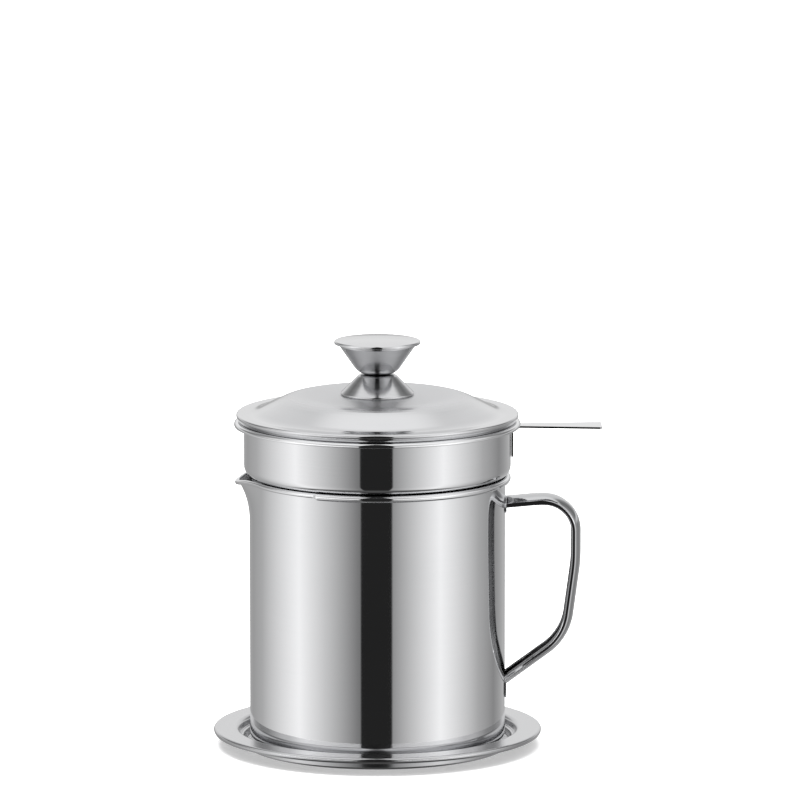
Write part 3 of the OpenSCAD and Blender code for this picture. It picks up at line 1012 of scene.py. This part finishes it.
polished = steel("polished_steel", (0.77, 0.77, 0.78), (0.74, 0.745, 0.755), 0.035, 0.075, 2500, 0.0002)
# The pot's inside: a brushed finish whose lighter grey is lifted near white, above the outside's, as
# painted light that brightens the shaded inside.
brushed_painted_light = steel("brushed_painted_light_steel", (0.98, 0.98, 0.99), (0.68, 0.685, 0.695), 0.34, 0.42, 900, 0.005, 1.0)
rolled = steel("rolled_steel", (0.82, 0.82, 0.83), (0.72, 0.725, 0.735), 0.1, 0.16, 1800, 0.0006, 0.4)
knob_steel = steel("knob_steel", (0.62, 0.62, 0.63), (0.52, 0.525, 0.535), 0.1, 0.18, 2200, 0.0006, 0.3)
satin = steel("satin_steel", (0.57, 0.57, 0.58), (0.53, 0.535, 0.545), 0.12, 0.2, 1100, 0.001, 0.2)
matt = steel("matt_steel", (0.78, 0.78, 0.79), (0.74, 0.745, 0.755), 0.4, 0.5, 1100, 0.001)
lid_steel = steel("lid_steel", (0.66, 0.66, 0.67), (0.63, 0.635, 0.645), 0.06, 0.11, 2500, 0.0002)
buffed = steel("buffed_steel", (0.66, 0.66, 0.67), (0.63, 0.635, 0.645), 0.06, 0.11, 2500, 0.0002,
               buff=(30, 56, 0.3))
handle_steel = steel("handle_steel", (0.58, 0.58, 0.59), (0.54, 0.545, 0.555), 0.045, 0.09, 2500, 0.0002)
# Dark steel for the inside of the pot handle's channel: painted shade where the channel faces the pot.
channel_painted_shade = steel("channel_painted_shade_steel", (0.3, 0.3, 0.305), (0.24, 0.242, 0.246), 0.2, 0.3, 1100, 0.0006)
screen_steel = steel("screen_steel", (0.7, 0.7, 0.71), (0.6, 0.605, 0.615), 0.14, 0.26, 900, 0.0008)
turned_steel = steel("turned_steel", (0.6, 0.6, 0.61), (0.5, 0.505, 0.515), 0.22, 0.38, 1800, 0.003, 0.4)


def dress(obj, body, replaced, slot, *materials):
    """Gives a piece its materials and its place in the frame."""
    for material in materials:
        obj.data.materials.append(material)
    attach(obj, body)
    if replaced:
        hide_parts(replaced)


dress(make_tray(), "tray", "tray", "satin_steel", satin, matt)
# The pot's inside takes the brushed steel with painted light.
dress(make_pot(), "pot", "pot_body", "polished_steel", polished, brushed_painted_light)
# The inside of the handle's channel takes the dark steel of painted shade.
dress(make_pot_handle(), "pot", "pot_handle", "polished_steel", handle_steel, channel_painted_shade)
dress(make_wall_tab("handle_tab_upper", upper_tab_top, upper_tab_bottom, -1),
      "pot", None, "polished_steel", polished)
dress(make_wall_tab("handle_tab_lower", lower_tab_top, lower_tab_bottom, 1),
      "pot", None, "polished_steel", polished)
dress(make_strainer(), "strainer", "strainer_cup", "polished_steel", polished, rolled)
dress(make_screen(), "strainer", "strainer_mesh", "mesh_steel", screen_steel)
dress(make_strainer_strip(), "strainer", "strainer_handle", "polished_steel", polished)
dress(make_lid(), "lid", "lid_dome", "polished_steel", buffed)
dress(make_collar(), "lid", "lid_collar", "polished_steel", polished)
dress(make_knob_cap(), "lid", "knob_cap", "polished_steel", lid_steel)
dress(make_knob_cone(), "lid", "knob_cone", "polished_steel", knob_steel)
dress(make_knob_skirt(), "lid", "knob_skirt", "polished_steel", knob_steel)
for node in ("knob_boss", "knob_screw", "knob_washer"):
    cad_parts[node].data.materials.clear()
    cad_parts[node].data.materials.append(turned_steel)


# Studio: brightness by compass direction, where 0 is straight at the camera and 90 is to its right

LOW_PANELS = (
    (-180, 0.44), (-152, 0.38), (-128, 0.5), (-75, 1.16), (-17, 0.24), (-15.2, 0.24), (-14.8, 0.02),
    (13, 0.02), (13.4, 0.35), (59, 1.16), (83, 0.8), (104, 0.5), (130, 0.3), (157, 0.5), (180, 0.44),
)
HIGH_PANELS = (
    (-180, 0.86), (-135, 0.9), (-104, 0.25), (-86, 0.35), (-66, 3), (-17, 2.7), (-15.2, 2.7), (-14.8, 0.02),
    (13, 0.02), (13.4, 2.3), (66, 2.6), (86, 0.35), (104, 0.25), (135, 0.9), (180, 0.86),
)
UPPER_PANELS = (
    (-180, 0.95), (-156, 0.9), (-146, 0.4), (-132, 0.22), (-118, 0.35), (-98, 0.9), (-75, 1.1), (-17, 0.36),
    (-15.2, 0.28), (-14.8, 0.02), (13, 0.02), (13.4, 0.36), (59, 1.1), (98, 0.9), (118, 0.35), (132, 0.22),
    (146, 0.4), (156, 0.9), (180, 0.95),
)
ZENITH_PANELS = ((-180, 1.15), (-17, 1.15), (-14, 0.05), (12, 0.05), (15, 1.15), (180, 1.15))
NADIR = (0.1, 0.1, 0.1, 1)
WHITE = (1, 1, 1, 1)

# Heights in degrees between which each ring of panels takes over from what lies below it
ZONES = ((-60, -43, LOW_PANELS), (0, 6, HIGH_PANELS), (7, 12, UPPER_PANELS), (46, 60, ZENITH_PANELS))

# Floor, in metres
FLOOR_REACH = 90
FLOOR_DROP = 0.05 * MM
FLOOR_GREY = (0.92, 0.92, 0.92, 1)
FLOOR_ROUGHNESS = 0.9
FLOOR_SHINE = 0.1
FLOOR_GLOW = 0.35

# Light from above, in degrees
SUN_STRENGTH = 4
SUN_SPREAD = 50
SUN_TILT = (-10, -4, 0)

# Camera: its height in degrees, its sensor and lens in millimetres, and the rest in metres
VIEW_HEIGHT = 9.3
SENSOR_WIDTH = 36
LENS = 384.5
VIEW_DISTANCE = 4.0
VIEW_LIMIT = 500
VIEW_AIM = Vector((0.0106, 0, 0.1638))


def panel_ramp(nodes, links, turn, panels):
    """Brightness of a ring of panels, by a turn that is 0.5 straight at the camera."""
    node = nodes.new("ShaderNodeValToRGB")
    elements = node.color_ramp.elements
    while len(elements) < len(panels):
        elements.new(0.5)
    for element, (angle, brightness) in zip(elements, panels):
        element.position = angle / 360 + 0.5
        element.color = (brightness, brightness, brightness, 1)
    links.new(turn, node.inputs["Fac"])
    return node.outputs["Color"]


def height_share(nodes, links, height, low, high):
    """A value that rises from 0 to 1 between two heights."""
    node = nodes.new("ShaderNodeMapRange")
    node.interpolation_type = "SMOOTHSTEP"
    links.new(height, node.inputs["Value"])
    node.inputs["From Min"].default_value = math.sin(math.radians(low))
    node.inputs["From Max"].default_value = math.sin(math.radians(high))
    return node.outputs["Result"]


def mix_colours(nodes, links, share, first, second):
    """Mixes two colours, each of them fixed or from another node."""
    node = nodes.new("ShaderNodeMix")
    node.data_type = "RGBA"
    links.new(share, node.inputs["Factor"])
    for name, value in (("A", first), ("B", second)):
        if isinstance(value, tuple):
            node.inputs[name].default_value = value
        else:
            links.new(value, node.inputs[name])
    return node.outputs["Result"]


def make_world():
    """Rings of light and dark panels for the reflections, and a white ground for the camera."""
    world = bpy.data.worlds.new("studio")
    world.use_nodes = True
    nodes, links = world.node_tree.nodes, world.node_tree.links
    split = nodes.new("ShaderNodeSeparateXYZ")
    links.new(nodes.new("ShaderNodeTexCoord").outputs["Generated"], split.inputs[0])
    x, y, z = split.outputs
    angle = math_node(nodes, links, "ARCTAN2", x, math_node(nodes, links, "MULTIPLY", y, -1))
    turn = math_node(nodes, links, "ADD", math_node(nodes, links, "DIVIDE", angle, 2 * math.pi), 0.5)
    room = NADIR
    for start, end, panels in ZONES:
        share = height_share(nodes, links, z, start, end)
        room = mix_colours(nodes, links, share, room, panel_ramp(nodes, links, turn, panels))
    seen = nodes.new("ShaderNodeLightPath").outputs["Is Camera Ray"]
    shown = mix_colours(nodes, links, seen, room, WHITE)
    links.new(shown, nodes["Background"].inputs["Color"])
    bpy.context.scene.world = world


def make_floor():
    """A pale floor that carries the shadow and isn't mirrored in the steel."""
    mesh = bpy.data.meshes.new("floor")
    corners = [(FLOOR_REACH * x, FLOOR_REACH * y, 0) for x, y in ((-1, -1), (1, -1), (1, 1), (-1, 1))]
    mesh.from_pydata(corners, [], [(0, 1, 2, 3)])
    floor = bpy.data.objects.new("floor", mesh)
    floor.location.z = -FLOOR_DROP
    floor.visible_glossy = False
    bpy.context.scene.collection.objects.link(floor)
    material, _, _, shader = new_material("pale_floor")
    shader.inputs["Base Color"].default_value = FLOOR_GREY
    shader.inputs["Roughness"].default_value = FLOOR_ROUGHNESS
    shader.inputs["Specular IOR Level"].default_value = FLOOR_SHINE
    shader.inputs["Emission Color"].default_value = WHITE
    shader.inputs["Emission Strength"].default_value = FLOOR_GLOW
    mesh.materials.append(material)


def make_sun():
    """One broad light from above, for the shadow on the floor."""
    data = bpy.data.lights.new("overhead", "SUN")
    data.energy = SUN_STRENGTH
    data.angle = math.radians(SUN_SPREAD)
    lamp = bpy.data.objects.new("overhead", data)
    lamp.rotation_euler = [math.radians(a) for a in SUN_TILT]
    lamp.visible_glossy = False
    bpy.context.scene.collection.objects.link(lamp)


def make_camera():
    """The photograph's view: far off, a little above, aimed so that the lifted pieces fill the frame."""
    elevation = math.radians(VIEW_HEIGHT)
    data = bpy.data.cameras.new("camera")
    data.sensor_width = SENSOR_WIDTH
    data.lens = LENS
    data.clip_end = VIEW_LIMIT
    camera = bpy.data.objects.new("camera", data)
    away = Vector((0, -math.cos(elevation), math.sin(elevation)))
    camera.location = VIEW_AIM + VIEW_DISTANCE * away
    camera.rotation_euler = (math.pi / 2 - elevation, 0, 0)
    bpy.context.scene.collection.objects.link(camera)
    bpy.context.scene.camera = camera


make_world()
make_floor()
make_sun()
make_camera()
bpy.context.scene.view_settings.view_transform = "Standard"
